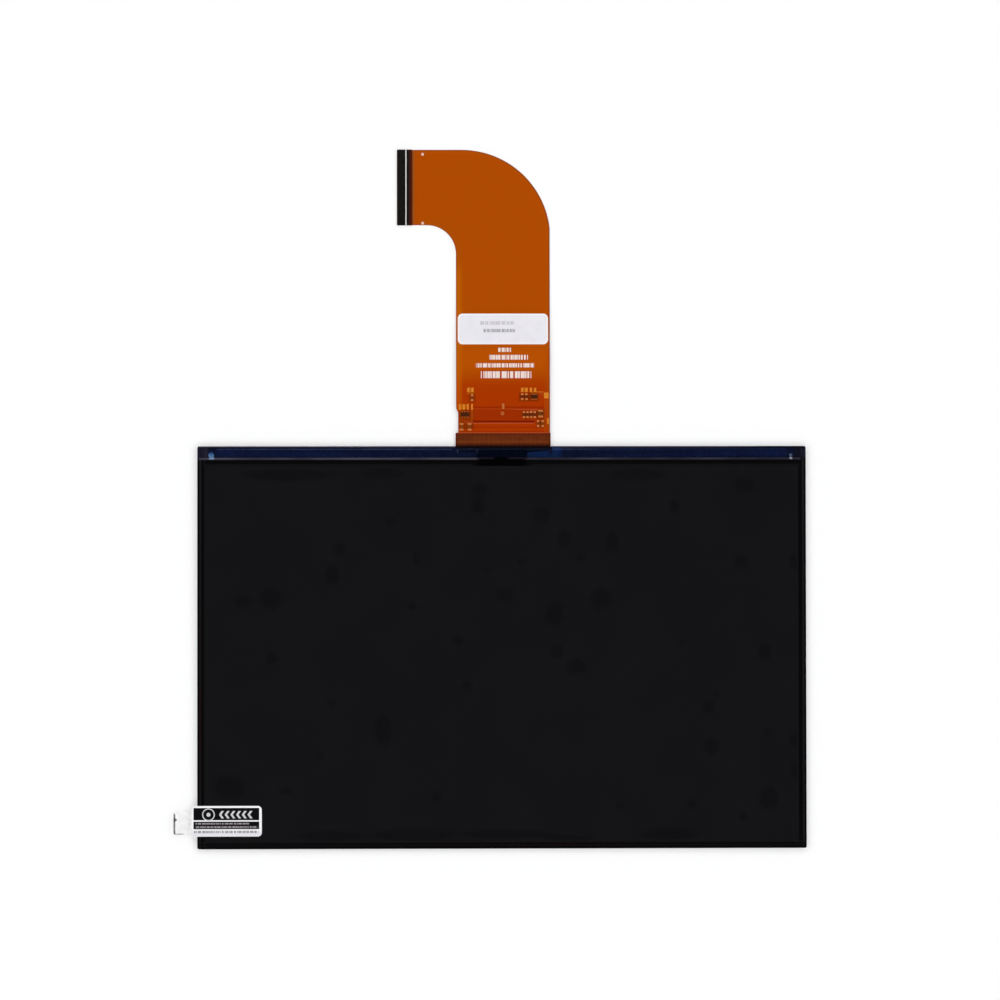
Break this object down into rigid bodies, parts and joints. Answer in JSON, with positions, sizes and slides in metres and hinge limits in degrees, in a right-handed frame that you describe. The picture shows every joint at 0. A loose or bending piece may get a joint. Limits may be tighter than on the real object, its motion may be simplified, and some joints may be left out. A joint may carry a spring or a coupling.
{
  "type": "lcd display",
  "caption": "Bare liquid crystal panel with a glass ledge, films on both faces and an orange flexible tail that ends in a plug-in edge connector.",
  "frame": {"origin": "middle of the panel's outline, on the rear face that it rests on", "axes": "+Z out of the viewing side, +Y from the panel towards the flexible tail, +X to the right as seen from the front"},
  "size_m": [0.2115, 0.2339, 0.0016],
  "materials": {
    "clear_film": "glossy clear protective film with faint trapped air",
    "dark_polariser": "smooth near-black film",
    "pane_glass": "polished clear glass with ground edges",
    "black_mask": "printed black",
    "sealant": "cured resin line",
    "crystal_layer": "dark liquid layer",
    "track_metal": "thin metal tracks with a navy sheen",
    "silicon": "bare silicon",
    "bond_glue": "cured conductive glue",
    "blue_silicone": "blue silicone",
    "black_tape": "matt black tape",
    "silver_paste": "dried silver paste",
    "orange_polyimide": "orange film over copper",
    "orange_coverlay": "satin orange cover film",
    "copper": "bare copper",
    "gold_plate": "gold plate",
    "black_stiffener": "matt black sheet",
    "white_ink": "pale grey print",
    "white_paper": "blank white label",
    "solder": "bright solder",
    "resistor_body": "black glaze with tinned ends",
    "capacitor_body": "brown ceramic with tinned ends",
    "coil_body": "dark ferrite with tinned ends",
    "chip_moulding": "moulded black epoxy",
    "clear_tab": "clear pull strip",
    "printed_sticker": "white sticker with plain black and white fields"
  },
  "bodies": {
    "root": {"rear_protective_film": "clear_film", "rear_polariser": "dark_polariser", "counter_glass": "pane_glass", "border_mask": "black_mask", "seal_frame": "sealant", "liquid_crystal": "crystal_layer", "array_glass": "pane_glass", "front_polariser": "dark_polariser", "front_protective_film": "clear_film", "ledge_wiring": "track_metal", "driver_chip": "silicon", "chip_bond_film": "bond_glue", "tail_bond_film": "bond_glue", "ledge_coating": "blue_silicone", "light_shield_tape": "black_tape", "ground_paste_dots": "silver_paste", "tail_base_film": "orange_polyimide", "tail_front_coverlay": "orange_coverlay", "tail_rear_coverlay": "orange_coverlay", "bond_fingers": "copper", "contact_fingers": "gold_plate", "connector_stiffener": "black_stiffener", "insertion_line": "white_ink", "tail_label": "white_paper", "solder_pads": "solder", "test_pads": "gold_plate", "ground_pad": "gold_plate", "alignment_marks": "solder", "resistors": "resistor_body", "small_capacitors": "capacitor_body", "large_capacitors": "capacitor_body", "power_coil": "coil_body", "regulator_chip": "chip_moulding", "memory_chip": "chip_moulding", "pull_tab": "clear_tab", "pull_tab_sticker": "printed_sticker"}
  },
  "joints": []
}
